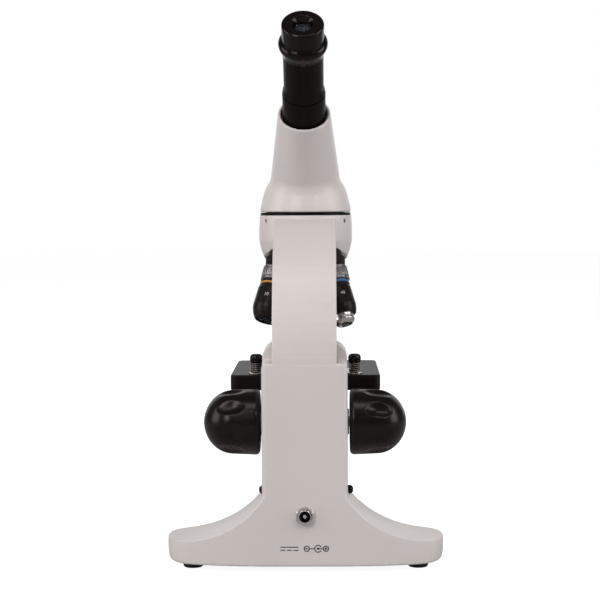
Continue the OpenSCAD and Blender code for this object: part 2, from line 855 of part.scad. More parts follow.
module objective_mid() {
  color("dimgray") objective(-place, [
    [0, seat], [8.6, seat], [8.6, 79.9], [9.2, 79.9], [9.2, 83.6], [9.7, 84.6], [10.2, 96.6],
    [9.4, 100.4], [7, 104.4], [0, 104.4]
  ], 5.5);
}

module objective_high() {
  color("dimgray") objective(place, [
    [0, seat], [8.6, seat], [8.6, 79.9], [8.9, 79.9], [8.9, 82.4], [8.4, 82.4], [8.4, 83.8],
    [8.9, 84.2], [9.5, 96.4], [8.8, 99.8], [8.1, 101], [0, 101]
  ], 6.6 + fit);
}

module objective_high_nose() {
  color("silver") on_objective(place) difference() {
    turned([[4, 92], [6.6, 92], [6.6, 104.6], [4.6, 107], [4, 107]]);
    translate([0, 0, 106.2]) cylinder(r = 4.2, h = 2);
  }
}

module nose_lens() {
  color("lightblue") on_objective(place) translate([0, 0, 103]) cylinder(r = 3.98, h = 3);
}

module objective_collars() {
  color("silver") for (turn = [-place, 0, place]) on_objective(turn)
    turned([
      [8.62, collar_low], [9.2, collar_low], [9.6, collar_low + 0.4], [9.6, collar_high - 0.6],
      [9.1, collar_high], [8.62, collar_high]
    ]);
}

module objective_lenses() {
  color("lightblue") {
    on_objective(0) translate([0, 0, 89]) cylinder(r = 5.98, h = 2.2);
    on_objective(-place) translate([0, 0, 101]) cylinder(r = 5.48, h = 2.6);
  }
}

// ---------------------------------------------------------------- head and eyepiece

module head_housing() {
  color("white") difference() {
    union() {
      on_axis() turned([
        [0, bulb_top_z + 1.9], [28.3, bulb_top_z + 1.9], [28, 211], [27, 214.8], [26.1, 218.5],
        [24.8, 222.3], [22.8, 226], [0, 226]
      ]);
      on_axis() translate([0, 0, bend_z - 1]) sphere(r = 22);
      on_tube() cylinder(r1 = 22, r2 = 15.7, h = tube_end);
      on_axis() translate([0, 0, bulb_top_z - 7.4]) cylinder(r = spigot_r - fit, h = 10);
    }
    on_axis() translate([0, 0, 190]) cylinder(r = 15, h = 30);
    on_axis() translate([0, 0, bend_z]) sphere(r = 17);
    on_tube() cylinder(r = drawtube_r, h = 80);
    on_tube() translate([0, 0, tube_end - 7]) cylinder(r = mouth_r, h = 10);
  }
}

module head_prism() {
  reach = 9;
  color("lightblue") on_axis() translate([-8, 0, bend_z]) rotate([90, 0, 90]) linear_extrude(16)
    polygon([[-reach, -reach], [reach, -reach], [reach, 1], [2, 9], [-reach, 3]]);
}

module drawtube() {
  color("black") on_tube() difference() {
    translate([0, 0, 24]) cylinder(r = drawtube_r - 0.02, h = drawtube_end - 24);
    translate([0, 0, 20]) cylinder(r = eyepiece_bore_r, h = 80);
  }
}

module eyepiece_barrel() {
  r = eyepiece_bore_r - fit;
  color("black") on_tube() difference() {
    turned([
      [9.6, barrel_start], [r, barrel_start], [r, drawtube_end + 0.4], [12.3, drawtube_end + 0.4],
      [12.5, 77], [12.5, 78], [12, 79.6], [11.7, 81.6], [11.7, 102], [11.9, 105.6], [9.6, 105.6]
    ]);
  }
}

module eyepiece_cap() {
  lip = cap_top - cap_edge;
  color("black") on_tube() turned(concat(
    [[9.6, 105.7], [11.9, 105.7], [12.4, 107.8], [13.4, 110], [14.1, 111.6], [14.3, 113], [14.1, 114.4],
      [13.4, 115.6], [12.2, 116.2]],
    arc([cap_r - cap_edge, lip], cap_edge, 0, 90, 6),
    [[6.7, cap_top], [4.85, cap_top - 3], [4.85, cap_top - 5], [9.6, cap_top - 5]]
  ));
}

module eye_lens() {
  color("lightblue") on_tube() translate([0, 0, cap_top - 8]) turned([
    [0, 0], [9.5, 0], [9.5, 2.9], [4.8, 2.9], [4.8, 3.6], [3, 4.1], [0, 4.3]
  ]);
}

module field_lens() {
  color("lightblue") on_tube() translate([0, 0, barrel_start + 4]) turned([[0, 0], [9.55, 0], [9.55, 2], [5, 3.4], [0, 3.8]]);
}

base_casting();
arm_casting();
base_cover();
cover_screws();
rubber_feet();
dc_inlet_barrel();
dc_inlet_nut();
dc_inlet_pin();
control_board();
lamp_collar();
lamp_lens();
lamp_led();
guide_rails();
shaft_bushes();
turret_mount();
turret_pivot();
head_ring();
head_lock_screws();
dimmer_body();
dimmer_wheel();
switch_body();
switch_button();
focus_shaft();
focus_pinion();
focus_knob_left();
focus_knob_right();
knob_set_screws();
stage_slide();
focus_rack();
stage_bracket();
stage_plate();
bracket_screws();
condenser_lens();
disc_pivot();
diaphragm_disc();
clip_post_left();
clip_spring_left();
clip_blade_left();
clip_post_right();
clip_spring_right();
clip_blade_right();
turret_disc();
turret_grip();
objective_low();
objective_mid();
objective_high();
objective_collars();
objective_lenses();
objective_high_nose();
nose_lens();
head_housing();
head_prism();
drawtube();
eyepiece_barrel();
eyepiece_cap();
eye_lens();
field_lens();
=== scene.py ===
"""A student microscope: castings, optics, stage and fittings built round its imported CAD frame."""

import json
import math

import bmesh
import bpy
from mathutils import Matrix, Vector


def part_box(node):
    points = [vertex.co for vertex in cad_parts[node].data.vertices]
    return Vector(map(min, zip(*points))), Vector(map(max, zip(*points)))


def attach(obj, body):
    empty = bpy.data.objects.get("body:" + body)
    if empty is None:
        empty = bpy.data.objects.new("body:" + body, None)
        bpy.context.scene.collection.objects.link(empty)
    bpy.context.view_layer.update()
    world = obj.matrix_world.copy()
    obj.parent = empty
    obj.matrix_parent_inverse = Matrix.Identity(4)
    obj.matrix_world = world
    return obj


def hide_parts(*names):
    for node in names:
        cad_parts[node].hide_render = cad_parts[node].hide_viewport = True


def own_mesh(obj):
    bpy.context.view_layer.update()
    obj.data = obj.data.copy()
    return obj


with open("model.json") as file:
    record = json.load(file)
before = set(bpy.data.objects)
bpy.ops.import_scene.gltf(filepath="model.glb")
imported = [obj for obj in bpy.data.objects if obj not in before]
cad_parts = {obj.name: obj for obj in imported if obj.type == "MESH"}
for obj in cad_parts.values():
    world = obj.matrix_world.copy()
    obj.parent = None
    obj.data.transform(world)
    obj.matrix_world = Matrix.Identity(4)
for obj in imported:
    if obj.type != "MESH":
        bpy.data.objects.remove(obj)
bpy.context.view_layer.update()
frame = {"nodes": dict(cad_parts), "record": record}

MM = 0.001
JOINTS = {j["name"]: j for j in frame["record"]["behaviour"]["joints"]}


# ---------------------------------------------------------------- places, from the frame

def mm_box(node):
    """Lowest and highest corner of a CAD node, in millimetres."""
    lo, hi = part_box(node)
    return Vector(lo) / MM, Vector(hi) / MM


def mm_middle(node):
    lo, hi = mm_box(node)
    return (lo + hi) / 2


def shift(x, y, z):
    return Matrix.Translation((x, y, z))


def turn(degrees, axis):
    return Matrix.Rotation(math.radians(degrees), 4, axis)


REAR_Y = mm_box("base_casting")[0].y
AXIS = mm_middle("lamp_collar")
DRAWTUBE_LO, DRAWTUBE_HI = mm_box("drawtube")
BEND_Z = DRAWTUBE_LO.z + DRAWTUBE_HI.y - AXIS.y
APEX_Z = JOINTS["turret_turn"]["pos_m"][2] / MM
TURRET_TILT = 15
TUBE_TILT = 45
PLACE = 120

UPRIGHT = shift(0, AXIS.y, 0)
TUBE = shift(0, AXIS.y, BEND_Z) @ turn(TUBE_TILT, "X")
TURRET = shift(0, AXIS.y, APEX_Z) @ turn(180 - TURRET_TILT, "X")
KNOB_MIDDLE = mm_middle("focus_shaft")


def objective_frame(place):
    return TURRET @ turn(place, "Z") @ turn(TURRET_TILT, "X")


# ---------------------------------------------------------------- materials

def link(tree, source, target):
    tree.links.new(source, target)


def noise_node(tree, scale, detail=4.0, rough=0.5, stretch=None):
    coords = tree.nodes.new("ShaderNodeTexCoord")
    node = tree.nodes.new("ShaderNodeTexNoise")
    node.inputs["Scale"].default_value = scale
    node.inputs["Detail"].default_value = detail
    node.inputs["Roughness"].default_value = rough
    if stretch:
        mapping = tree.nodes.new("ShaderNodeMapping")
        mapping.inputs["Scale"].default_value = stretch
        link(tree, coords.outputs["Object"], mapping.inputs["Vector"])
        link(tree, mapping.outputs["Vector"], node.inputs["Vector"])
    else:
        link(tree, coords.outputs["Object"], node.inputs["Vector"])
    return node.outputs["Fac"]


def spread(tree, factor, low, high, start=0.3, end=0.7):
    """Maps a 0 to 1 factor onto low to high."""
    node = tree.nodes.new("ShaderNodeMapRange")
    node.inputs["From Min"].default_value = start
    node.inputs["From Max"].default_value = end
    node.inputs["To Min"].default_value = low
    node.inputs["To Max"].default_value = high
    link(tree, factor, node.inputs["Value"])
    return node.outputs["Result"]


def two_tone(tree, factor, dark, light):
    node = tree.nodes.new("ShaderNodeMix")
    node.data_type = "RGBA"
    node.inputs["A"].default_value = (*dark, 1)
    node.inputs["B"].default_value = (*light, 1)
    link(tree, factor, node.inputs["Factor"])
    return node.outputs["Result"]


def finish_material(
        name, dark, light, rough, grain, bump, sockets=None, patch=30.0, stretch=None):
    """A surface whose colour and roughness drift between two values, with a fine grain in its bump.

    rough is (low, high), grain and patch are noise scales per metre, and bump is
    (strength, depth in mm).
    """
    made = bpy.data.materials.new(name)
    made.use_nodes = True
    tree = made.node_tree
    shader = tree.nodes["Principled BSDF"]
    drift = noise_node(tree, patch, 5.0, 0.6)
    link(tree, two_tone(tree, spread(tree, drift, 0, 1), dark, light), shader.inputs["Base Color"])
    fine = noise_node(tree, grain, 3.0, 0.55, stretch)
    link(tree, spread(tree, fine, rough[0], rough[1]), shader.inputs["Roughness"])
    node = tree.nodes.new("ShaderNodeBump")
    node.inputs["Strength"].default_value = bump[0]
    node.inputs["Distance"].default_value = bump[1] * MM
    link(tree, fine, node.inputs["Height"])
    link(tree, node.outputs["Normal"], shader.inputs["Normal"])
    for socket, value in (sockets or {}).items():
        shader.inputs[socket].default_value = value
    return made


def speckled(made, amount, scale, colour):
    """Adds fine light grains to a powder coat."""
    tree = made.node_tree
    shader = tree.nodes["Principled BSDF"]
    below = shader.inputs["Base Color"].links[0].from_socket
    cells = tree.nodes.new("ShaderNodeTexVoronoi")
    coords = tree.nodes.new("ShaderNodeTexCoord")
    cells.inputs["Scale"].default_value = scale
    link(tree, coords.outputs["Object"], cells.inputs["Vector"])
    grain_edge, grain_end = 0.1, 0.42
    mask = spread(tree, cells.outputs["Distance"], amount, 0.0, grain_edge, grain_end)
    node = tree.nodes.new("ShaderNodeMix")
    node.data_type = "RGBA"
    node.inputs["B"].default_value = (*colour, 1)
    link(tree, mask, node.inputs["Factor"])
    link(tree, below, node.inputs["A"])
    link(tree, node.outputs["Result"], shader.inputs["Base Color"])
    return made


def grey(value, warm=0.0):
    return (value * (1 + warm), value, value * (1 - warm))


WARM = (1.0, 0.84, 0.80, 1)
PAINT = finish_material(
    "casting_paint", (0.70, 0.635, 0.612), (0.745, 0.68, 0.657), (0.34, 0.44), 1300, (0.14, 0.05),
    {"Specular IOR Level": 0.4, "Coat Weight": 0.12, "Coat Roughness": 0.3}, patch=14)
GLOSS = finish_material(
    "gloss_plastic", (0.0036, 0.0024, 0.0023), (0.0056, 0.0038, 0.0036), (0.12, 0.20), 500,
    (0.05, 0.04),
    {"Specular IOR Level": 0.22, "Specular Tint": WARM})
KNOB = finish_material(
    "knob_plastic", (0.0042, 0.0029, 0.0029), (0.0066, 0.0046, 0.0046), (0.20, 0.30), 1500,
    (0.10, 0.05),
    {"Specular IOR Level": 0.26, "Specular Tint": WARM})
SATIN = finish_material(
    "satin_black", (0.0042, 0.0025, 0.0023), (0.0066, 0.0040, 0.0037), (0.34, 0.46), 1200,
    (0.08, 0.04),
    {"Specular IOR Level": 0.11, "Specular Tint": WARM})
MATTE = finish_material(
    "matte_black", grey(0.012, 0.1), grey(0.02, 0.1), (0.55, 0.7), 900, (0.15, 0.08))
COVER = speckled(
    finish_material("cover_coat", grey(0.025, 0.05), grey(0.035, 0.05), (0.5, 0.65), 1800, (0.4, 0.12)),
    0.35, 1500, grey(0.09))
STAGE = speckled(
    finish_material(
        "stage_coat", (0.0040, 0.0028, 0.0026), (0.0075, 0.0052, 0.0049), (0.36, 0.50), 1500,
        (0.45, 0.15),
        {"Specular IOR Level": 0.14, "Specular Tint": WARM}),
    0.22, 1300, (0.045, 0.034, 0.032))
GREY = finish_material(
    "objective_enamel", (0.0095, 0.0066, 0.0070), (0.015, 0.0105, 0.011), (0.28, 0.38), 900,
    (0.06, 0.04),
    {"Specular IOR Level": 0.15, "Specular Tint": WARM})
NICKEL = finish_material(
    "nickel", (0.50, 0.46, 0.44), (0.62, 0.58, 0.55), (0.16, 0.30), 700, (0.05, 0.03),
    {"Metallic": 1.0}, stretch=(1, 1, 12))
SPRING = finish_material(
    "spring_wire", (0.13, 0.11, 0.105), (0.22, 0.19, 0.18), (0.22, 0.34), 700, (0.05, 0.03),
    {"Metallic": 1.0})
COLLAR = finish_material(
    "collar_nickel", (0.20, 0.185, 0.19), (0.30, 0.28, 0.285), (0.26, 0.40), 700, (0.08, 0.03),
    {"Metallic": 1.0}, stretch=(1, 1, 12))
CHROME = finish_material(
    "chrome", (0.62, 0.57, 0.54), (0.76, 0.71, 0.68), (0.07, 0.15), 500, (0.03, 0.03),
    {"Metallic": 1.0})
STEEL = finish_material(
    "turned_steel", (0.42, 0.37, 0.34), (0.54, 0.49, 0.46), (0.22, 0.36), 600, (0.12, 0.05),
    {"Metallic": 1.0}, stretch=(14, 1, 1))
DARK_STEEL = finish_material(
    "black_oxide", grey(0.02), grey(0.035), (0.35, 0.5), 900, (0.1, 0.05), {"Metallic": 0.8})
ALUMINIUM = finish_material(
    "milled_aluminium", grey(0.60), grey(0.68), (0.28, 0.42), 500, (0.15, 0.06),
    {"Metallic": 1.0}, stretch=(1, 1, 10))
BRASS = finish_material(
    "brass", (0.62, 0.43, 0.16), (0.74, 0.54, 0.23), (0.2, 0.34), 700, (0.1, 0.05),
    {"Metallic": 1.0})
RUBBER = finish_material("rubber", grey(0.012), grey(0.02), (0.62, 0.8), 1300, (0.3, 0.12))
BOARD = finish_material(
    "solder_mask", (0.005, 0.07, 0.02), (0.008, 0.10, 0.03), (0.25, 0.4), 500, (0.1, 0.05))
LED = finish_material(
    "led_epoxy", (0.80, 0.70, 0.30), (0.88, 0.78, 0.38), (0.2, 0.3), 400, (0.05, 0.05))
FROSTED = finish_material(
    "frosted_glass", (0.78, 0.80, 0.79), (0.86, 0.88, 0.87), (0.38, 0.5), 900, (0.2, 0.05),
    {"Transmission Weight": 0.35, "IOR": 1.5})
LENS = finish_material(
    "coated_lens", (0.42, 0.48, 0.62), (0.52, 0.58, 0.70), (0.0, 0.03), 200, (0.01, 0.01),
    {"Transmission Weight": 0.95, "IOR": 1.52, "Coat Weight": 0.2, "Coat Roughness": 0.02})
YELLOW = finish_material(
    "yellow_band", (0.55, 0.23, 0.02), (0.62, 0.27, 0.03), (0.3, 0.4), 700, (0.06, 0.03))
BLUE = finish_material(
    "blue_band", (0.02, 0.12, 0.28), (0.03, 0.15, 0.33), (0.3, 0.4), 700, (0.06, 0.03))
RED = finish_material(
    "red_band", (0.45, 0.02, 0.015), (0.52, 0.03, 0.02), (0.3, 0.4), 700, (0.06, 0.03))
MARK = finish_material(
    "white_mark", grey(0.60, 0.02), grey(0.68, 0.02), (0.4, 0.55), 900, (0.1, 0.02))
INK = finish_material(
    "grey_mark", grey(0.035, 0.04), grey(0.055, 0.04), (0.5, 0.6), 900, (0.1, 0.02))

SLOT_MATERIAL = {
    "casting_white": PAINT, "plate_black": COVER, "steel": STEEL, "dark_steel": DARK_STEEL,
    "rubber": RUBBER, "chrome": CHROME, "nickel": NICKEL, "board": BOARD, "gloss_black": GLOSS,
    "matte_black": MATTE, "satin_black": SATIN, "stage_black": STAGE, "objective_grey": GREY,
    "aluminium": ALUMINIUM, "brass": BRASS, "frosted_glass": FROSTED, "lens_glass": LENS,
    "led": LED,
}
NODE_SLOT = {s["node"]: s["material_slot"] for s in frame["record"]["subparts"]}
BODY_NODES = frame["record"]["behaviour"]["bodies"]
NODE_BODY = {node: body for body, nodes in BODY_NODES.items() for node in nodes}


def dress(cad_object, made):
    """Gives a CAD node that stays its procedural material."""
    for place in cad_object.material_slots:
        place.material = made
    if not cad_object.material_slots:
        cad_object.data.materials.append(made)


for node_name, cad_object in frame["nodes"].items():
    dress(cad_object, SLOT_MATERIAL[NODE_SLOT[node_name]])


# ---------------------------------------------------------------- mesh helpers

def settle(piece, materials, nodes, body=None):
    """Gives a new piece its materials and its body, and lets it stand for its CAD nodes."""
    for made in materials:
        piece.data.materials.append(made)
    piece.data.polygons.foreach_set("use_smooth", [True] * len(piece.data.polygons))
    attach(piece, body or NODE_BODY[nodes[0]])
    if nodes:
        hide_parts(*nodes)
    return piece


def new_object(name, data):
    """Puts a mesh, curve, light or camera into the scene."""
    made = bpy.data.objects.new(name, data)
    bpy.context.scene.collection.objects.link(made)
    return made


def mesh_object(name, points, faces, sharp=35.0):
    """A mesh from points in millimetres, with its sharp edges marked."""
    data = bpy.data.meshes.new(name)
    data.from_pydata([tuple(c * MM for c in p) for p in points], [], faces)
    data.validate()
    piece = new_object(name, data)
    tidy_mesh(data, sharp)
    return piece


def tidy_mesh(data, sharp):
    work = bmesh.new()
    work.from_mesh(data)
    bmesh.ops.remove_doubles(work, verts=work.verts, dist=0.0004 * MM)
    bmesh.ops.recalc_face_normals(work, faces=work.faces)
    limit = math.radians(sharp)
    for edge in work.edges:
        edge.smooth = not edge.is_manifold or edge.calc_face_angle(0) < limit
    work.to_mesh(data)
    work.free()


def fillet(points, radius, steps=4, closed=True):
    """Rounds the corners of an outline. radius is one number, or one for each corner."""
    count = len(points)
    radii = [radius] * count if isinstance(radius, (int, float)) else list(radius)
    out = []
    for i, corner in enumerate(points):
        here = Vector(corner)
        if not closed and i in (0, count - 1):
            out.append(tuple(here))
            continue
        to_last = Vector(points[i - 1]) - here
        to_next = Vector(points[(i + 1) % count]) - here
        if radii[i] <= 0 or to_last.length == 0 or to_next.length == 0:
            out.append(tuple(here))
            continue
        angle = to_last.angle(to_next)
        if angle > math.radians(176):
            out.append(tuple(here))
            continue
        reach = min(radii[i] / math.tan(angle / 2), to_last.length * 0.45, to_next.length * 0.45)
        start = here + to_last.normalized() * reach
        end = here + to_next.normalized() * reach
        for k in range(steps + 1):
            t = k / steps
            out.append(tuple((1 - t) ** 2 * start + 2 * t * (1 - t) * here + t ** 2 * end))
    return out


def lathe(name, loops, place, segments=96, wave=None, sharp=35.0):
    """Turned solids from closed [radius, height] loops, placed by a matrix in millimetres.

    wave(angle, radius, height) gives the radius that a point takes, for knurls and flutes.
    """
    points, faces = [], []
    for loop in loops:
        rings = []
        for radius, height in loop:
            if radius < 1e-6:
                rings.append([len(points)] * segments)
                points.append(place @ Vector((0, 0, height)))
                continue
            rings.append(list(range(len(points), len(points) + segments)))
            for k in range(segments):
                angle = 2 * math.pi * k / segments
                r = wave(angle, radius, height) if wave else radius
                points.append(place @ Vector((r * math.cos(angle), r * math.sin(angle), height)))
        for a, b in zip(rings, rings[1:] + rings[:1]):
            for k in range(segments):
                n = (k + 1) % segments
                corners = [a[k], a[n], b[n], b[k]]
                unique = list(dict.fromkeys(corners))
                if len(unique) > 2:
                    faces.append(unique)
    return mesh_object(name, points, faces, sharp)


def tooth(angle, count, depth):
    """How far a knurled or fluted surface with count teeth is cut in at an angle."""
    return depth * (0.5 + 0.5 * math.cos(count * angle)) ** 2


def dome(radius, edge, height, steps):
    """The domed top of a lens, from just inside its edge to the middle, as lathe points."""
    points = [
        (radius * (1 - k / steps), edge + height * (1 - (1 - k / steps) ** 2))
        for k in range(1, steps)
    ]
    return points + [(0, edge + height)]


def soft_copy(name, node, voxel, smooth, keep, filler=None, blend=None):
    """A copy of a CAD node with its edges rounded as a cast or moulded piece has them.

    filler is a box, low and high corner in millimetres, that is merged into the copy first.
    blend is (low, high, passes): the band of heights where two shapes flow into each other.
    """
    data = frame["nodes"][node].data.copy()
    data.name = name
    if filler:
        lo, hi = Vector(filler[0]) * MM, Vector(filler[1]) * MM
        work = bmesh.new()
        work.from_mesh(data)
        grown = bmesh.ops.create_cube(work, size=1.0)
        for v in grown["verts"]:
            v.co = Vector(h if c > 0 else l for c, l, h in zip(v.co, lo, hi))
        work.to_mesh(data)
        work.free()
    data.materials.clear()
    piece = new_object(name, data)
    weld = piece.modifiers.new("weld", "WELD")
    weld.merge_threshold = 0.002 * MM
    remesh = piece.modifiers.new("remesh", "REMESH")
    remesh.mode = "VOXEL"
    remesh.voxel_size = voxel * MM
    relax = piece.modifiers.new("relax", "SMOOTH")
    relax.factor = 0.5
    relax.iterations = smooth
    if blend:
        bake(piece)
        flow_together(piece, *blend)
    lighten = piece.modifiers.new("lighten", "DECIMATE")
    lighten.ratio = keep
    bake(piece)
    return piece


def flow_together(piece, low, high, passes):
    """Fills the hollow between two shapes over a band of heights, and leaves what stands proud."""
    start = [(v.co.copy(), v.normal.copy()) for v in piece.data.vertices]
    band = piece.vertex_groups.new(name="band")
    for i, (spot, _) in enumerate(start):
        t = (spot.z / MM - low) / (high - low)
        if 0 < t < 1:
            band.add([i], math.sin(math.pi * t) ** 0.5, "REPLACE")
    flow = piece.modifiers.new("flow", "SMOOTH")
    flow.vertex_group = band.name
    flow.factor = 0.5
    flow.iterations = passes
    bake(piece)
    for v, (spot, normal) in zip(piece.data.vertices, start):
        if (v.co - spot).dot(normal) < 0:
            v.co = spot


def bake(piece):
    """Turns a piece's modifiers into its mesh."""
    graph = bpy.context.evaluated_depsgraph_get()
    result = bpy.data.meshes.new_from_object(piece.evaluated_get(graph))
    result.name = piece.name
    piece.modifiers.clear()
    piece.vertex_groups.clear()
    piece.data = result


def arc(centre, radius, start, end, steps):
    return [
        (centre[0] + radius * math.cos(math.radians(start + (end - start) * k / steps)),
         centre[1] + radius * math.sin(math.radians(start + (end - start) * k / steps)))
        for k in range(steps + 1)
    ]


def paint_bands(piece, place, bands, base=0):
    """Paints turned bands by height along the piece's own axis: (low, high, least radius, index)."""
    back = place.inverted()
    for face in piece.data.polygons:
        spot = back @ (face.center / MM)
        face.material_index = base
        for low, high, least, index in bands:
            if low <= spot.z <= high and math.hypot(spot.x, spot.y) >= least:
                face.material_index = index


# ---------------------------------------------------------------- castings

def tuck_tips(piece):
    """Rounds the lower rim of the wing tips inward, which the CAD does not have.

    The rim's inner wall moves with it, so it runs into the edge of the base cover there.
    """
    lo, hi = mm_box("base_casting")
    tuck, rim = 2.6, 6.5
    reach, full = 14, 2
    for v in piece.data.vertices:
        x, z = v.co.x / MM, v.co.z / MM
        share = min(1.0, max(0.0, (abs(x) - hi.x + reach + full) / reach))
        rise = (z - lo.z) / rim
        if share > 0 and rise < 1:
            inward = tuck * share * (1 - math.sqrt(max(0.0, 1 - (1 - rise) ** 2)))
            v.co.x -= math.copysign(inward * MM, x)


def build_castings():
    base = soft_copy("base_shell", "base_casting", voxel=0.75, smooth=3, keep=0.3)
    tuck_tips(base)
    settle(base, [PAINT], ["base_casting"])

    pillar_top = mm_box("base_casting")[1].z
    arm_half, skin, depth = 18.6, 0.04, 6
    low, high = pillar_top - 10 - 4, pillar_top - 10 + 3
    filler = ((-arm_half, REAR_Y + skin, low), (arm_half, REAR_Y + depth, high))
    arm = soft_copy("arm_shell", "arm_casting", voxel=0.5, smooth=5, keep=0.2, filler=filler)
    settle(arm, [PAINT], ["arm_casting"])

    bend_band = (207, 252, 420)
    head = soft_copy("head_shell", "head_housing", voxel=0.7, smooth=6, keep=0.5, blend=bend_band)
    settle(head, [PAINT], ["head_housing"])

    lo, hi = mm_box("head_ring")
    proud, inner = 0.5, 22.0
    outer = (hi.x - lo.x) / 2 + proud
    loop = [(inner, lo.z), (outer, lo.z), (outer, hi.z), (inner, hi.z)]
    settle(lathe("head_seam_ring", [fillet(loop, 0.35)], UPRIGHT, 128), [SATIN], ["head_ring"])


# ---------------------------------------------------------------- eyepiece and drawtube

def build_eyepiece():
    bore, outer, end = 11.65, 12.78, 76.0
    loop = fillet([
        (bore, 24), (outer, 24), (outer, end), (bore, end)], 0.3, 4)
    settle(lathe("drawtube_sleeve", [loop], TUBE), [SATIN], ["drawtube"])

    r = bore - 0.06
    loop = fillet([
        (9.6, 42), (r, 42), (r, 76.4), (12.3, 76.4), (12.5, 77), (12.5, 78), (12.0, 79.6),
        (11.7, 81.6),
        (11.7, 92), (11.7, 102), (11.9, 105.6), (9.6, 105.6)],
        [0.2, 0.2, 0, 0.1, 0.3, 0.5, 1.2, 2, 0, 3, 0, 0], 4)
    settle(lathe("eyepiece_neck", [loop], TUBE), [SATIN], ["eyepiece_barrel"])

    top = 127.6
    loop = fillet([
        (9.6, 105.7), (11.9, 105.7), (12.4, 107.8), (13.4, 110), (14.1, 111.6), (14.3, 113),
        (14.05, 114.5), (13.2, 115.6), (12.1, 116.1), (11.9, 116.7), (12.2, 117.4),
        (12.2, top - 0.9),
        (11.3, top), (6.9, top), (6.5, top - 0.5), (4.85, top - 3.2), (4.85, top - 5),
        (9.6, top - 5)],
        [0.2, 0.1, 2, 2, 2, 1.2, 0.9, 0.6, 0.4, 0.3, 0.4, 1.3, 1.3, 0.5, 0.5, 0.3, 0.2, 0.2], 5)
    settle(lathe("eyepiece_cap_shell", [loop], TUBE, 128), [GLOSS], ["eyepiece_cap"])

    glass = [(0, top - 8), (9.5, top - 8), (9.5, top - 5.1), (4.8, top - 5.1), (4.8, top - 4.3)]
    glass += dome(4.8, top - 4.3, 1.0, 6)
    settle(lathe("eyepiece_glass", [glass], TUBE, 64), [LENS], ["eye_lens"])


# ---------------------------------------------------------------- turret and objectives

def build_turret():
    low, high = 55.2, 58.1
    loop = fillet([(4.02, low), (22.5, low), (22.5, high - 1.2), (21.6, high), (4.02, high)], 0.4)
    settle(lathe("turret_seat", [loop], TURRET), [SATIN], ["turret_mount"])

    teeth = 60

    def knurl(angle, radius, height):
        if radius < 24:
            return radius
        return radius - tooth(angle, teeth, 0.35)

    loop = fillet([
        (23.05, 58.6), (23.9, 58.6), (24.4, 59.2), (24.4, 64.4), (23.9, 65.6), (23.05, 66)],
        [0, 0.2, 0.4, 0.8, 0.3, 0], 4)
    settle(lathe("turret_grip_ring", [loop], TURRET, teeth * 6, knurl), [SATIN], ["turret_grip"])

    loop = fillet([
        (4.02, 58.52), (22.98, 58.52), (22.98, 66.2), (9, 69.9), (8.8, 69.9), (8.8, 67),
        (4.02, 67)],
        [0, 0.2, 1.2, 0.2, 0.2, 0.2, 0], 4)
    settle(lathe("turret_bowl", [loop], TURRET), [SATIN], ["turret_disc"])


def engrave(name, place, words, radius, height, size, made, body):
    """Raised digits wrapped round a turned barrel."""
    curve = bpy.data.curves.new(name, "FONT")
    curve.body = words
    curve.size = size
    curve.align_x = "CENTER"
    curve.align_y = "CENTER"
    curve.resolution_u = 3
    holder = new_object(name + "_flat", curve)
    graph = bpy.context.evaluated_depsgraph_get()
    flat = bpy.data.meshes.new_from_object(holder.evaluated_get(graph))
    bpy.data.objects.remove(holder)
    work = bmesh.new()
    work.from_mesh(flat)
    bmesh.ops.triangulate(work, faces=work.faces)
    bmesh.ops.subdivide_edges(work, edges=[e for e in work.edges if e.calc_length() > 0.5], cuts=1)
    top = bmesh.ops.extrude_face_region(work, geom=work.faces[:])
    raised = {v for v in top["geom"] if isinstance(v, bmesh.types.BMVert)}
    for v in work.verts:
        r = radius + (0.05 if v in raised else -0.06)
        angle = -v.co.x / radius
        v.co = place @ Vector((r * math.sin(angle), -r * math.cos(angle), height - v.co.y)) * MM
    bmesh.ops.recalc_face_normals(work, faces=work.faces)
    data = bpy.data.meshes.new(name)
    work.to_mesh(data)
    work.free()
    piece = new_object(name, data)
    data.materials.append(made)
    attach(piece, body)


